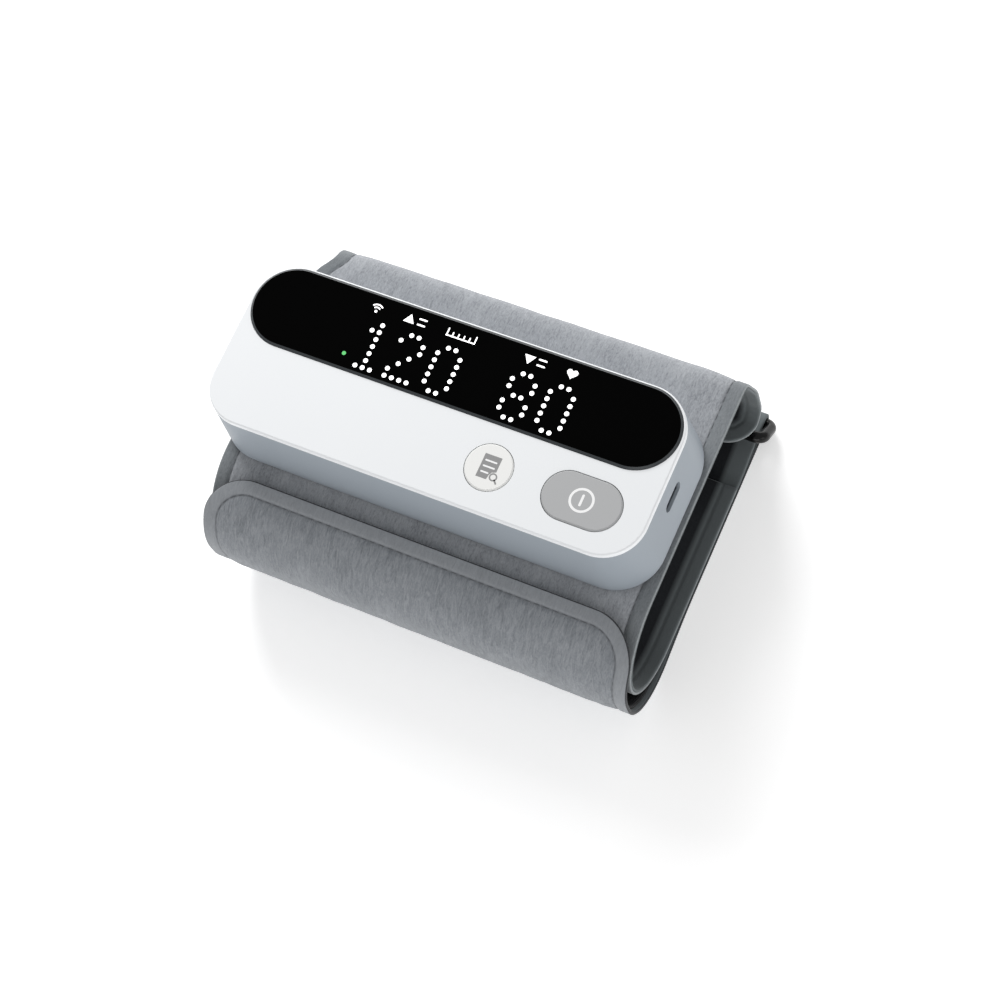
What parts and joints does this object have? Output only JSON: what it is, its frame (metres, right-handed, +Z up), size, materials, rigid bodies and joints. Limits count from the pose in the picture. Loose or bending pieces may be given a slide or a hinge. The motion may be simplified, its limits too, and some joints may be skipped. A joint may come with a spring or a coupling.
{
  "type": "upper arm blood pressure monitor",
  "caption": "Tubeless upper arm blood pressure monitor: flat oblong unit with dot display and two push buttons, fixed on a closed fabric cuff with a hook-and-loop flap.",
  "frame": {"origin": "centre of the bounding box on the surface that the cuff lies on", "axes": "+X along the monitor, towards the end with the charging port; +Y from the flap's side to the ring's side; +Z up, out of the display"},
  "size_m": [0.1448, 0.1058, 0.0706],
  "materials": {
    "white_plastic": "satin white moulded plastic",
    "bluegrey_plastic": "satin blue-grey moulded plastic",
    "black_panel": "gloss black panel",
    "button_white": "off-white satin",
    "button_grey": "light grey satin",
    "black_plastic": "black moulded",
    "board": "circuit board, solder mask",
    "led": "small light sources",
    "steel": "zinc-plated steel",
    "port_metal": "stamped steel shell",
    "rubber": "soft black rubber",
    "silicone": "translucent silicone tube",
    "cell": "shrink-wrapped cell",
    "outer_fabric": "brushed grey loop fabric",
    "lining_fabric": "dark grey-green lining",
    "hook_fabric": "black hook fabric",
    "bladder_film": "welded film",
    "ring_black": "glossy black"
  },
  "bodies": {
    "monitor_and_cuff": {"top_cover": "white_plastic", "base_housing": "bluegrey_plastic", "display_lens": "black_panel", "light_guide": "black_plastic", "display_board": "board", "led_chips": "led", "display_screws": "steel", "memory_switch": "black_plastic", "start_switch": "black_plastic", "main_board": "board", "board_screws": "steel", "main_chip": "black_plastic", "buzzer": "black_plastic", "usb_port": "port_metal", "housing_screws": "steel", "dock_plate": "black_plastic", "dock_screws": "steel", "air_nipple": "black_plastic", "port_seal": "rubber", "air_manifold": "black_plastic", "pump_tube": "silicone", "valve_tube": "silicone", "sensor_tube": "silicone", "pressure_sensor": "black_plastic", "exhaust_valve": "black_plastic", "pump_motor": "steel", "pump_head": "black_plastic", "pump_cushion": "rubber", "battery": "cell", "battery_pad": "rubber", "cuff_cover": "outer_fabric", "cuff_lining": "lining_fabric", "bladder": "bladder_film", "tail_strap": "outer_fabric", "hook_panel": "hook_fabric", "ring": "ring_black", "ring_tab": "outer_fabric"},
    "memory_button": {"memory_button": "button_white", "memory_actuator": "black_plastic"},
    "start_button": {"start_button": "button_grey", "start_actuator": "black_plastic"},
    "flap": {"closure_flap": "outer_fabric", "flap_hook": "hook_fabric"},
    "pump_crank": {"pump_crank": "steel"},
    "valve_plunger": {"valve_plunger": "steel"}
  },
  "joints": [
    {"name": "memory_button_press", "type": "slide", "parent": "monitor_and_cuff", "child": "memory_button", "axis": [0, 0, -1], "range_m": [0, 0.0008], "stiffness_N_per_m": 1500, "springref_m": -0.0004},
    {"name": "start_button_press", "type": "slide", "parent": "monitor_and_cuff", "child": "start_button", "axis": [0, 0, -1], "range_m": [0, 0.0008], "stiffness_N_per_m": 1500, "springref_m": -0.0004},
    {"name": "flap_peel", "type": "hinge", "parent": "monitor_and_cuff", "child": "flap", "pos_m": [0, -0.0529, 0.02665], "axis": [1, 0, 0], "range_deg": [0, 115]},
    {"name": "pump_crank_spin", "type": "hinge", "parent": "monitor_and_cuff", "child": "pump_crank", "pos_m": [-0.04125, -0.015, 0.0586], "axis": [1, 0, 0], "continuous": true},
    {"name": "valve_plunger_slide", "type": "slide", "parent": "monitor_and_cuff", "child": "valve_plunger", "axis": [1, 0, 0], "range_m": [0, 0.0008], "stiffness_N_per_m": 60, "springref_m": -0.0005}
  ]
}
